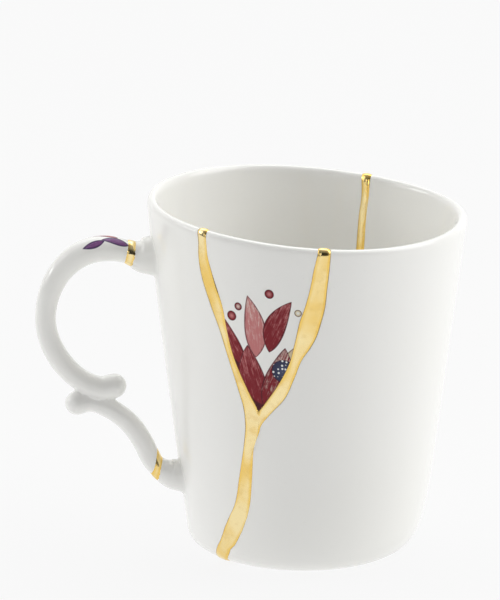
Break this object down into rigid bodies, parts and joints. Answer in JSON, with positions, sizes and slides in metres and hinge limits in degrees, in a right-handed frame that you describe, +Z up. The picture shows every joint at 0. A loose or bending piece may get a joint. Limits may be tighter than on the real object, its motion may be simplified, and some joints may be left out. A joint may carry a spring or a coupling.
{
  "type": "kintsugi mug",
  "caption": "White porcelain mug with a scrolled handle, broken into shards and joined again with raised gold seams; it holds a hot drink.",
  "frame": {"origin": "on the cup's axis, level with the foot ring that it stands on", "axes": "+Z up through the mouth, -X towards the handle, -Y towards the printed shard"},
  "size_m": [0.1275, 0.0941, 0.1074],
  "materials": {
    "porcelain": "cool white porcelain under a clear glossy glaze, bare on the foot ring",
    "printed_porcelain": "the same glazed porcelain, printed with a sprig of crimson and beige leaves and berries",
    "handle_porcelain": "the same glazed porcelain, with three small mauve leaves by the upper ring",
    "gold": "polished pale gold over a raised filler, a little uneven"
  },
  "bodies": {
    "root": {"shard_handle_side": "porcelain", "shard_far_side": "porcelain", "shard_printed": "printed_porcelain", "handle_scroll": "handle_porcelain", "gold_seam": "gold", "gold_ring_upper": "gold", "gold_ring_lower": "gold"}
  },
  "joints": []
}
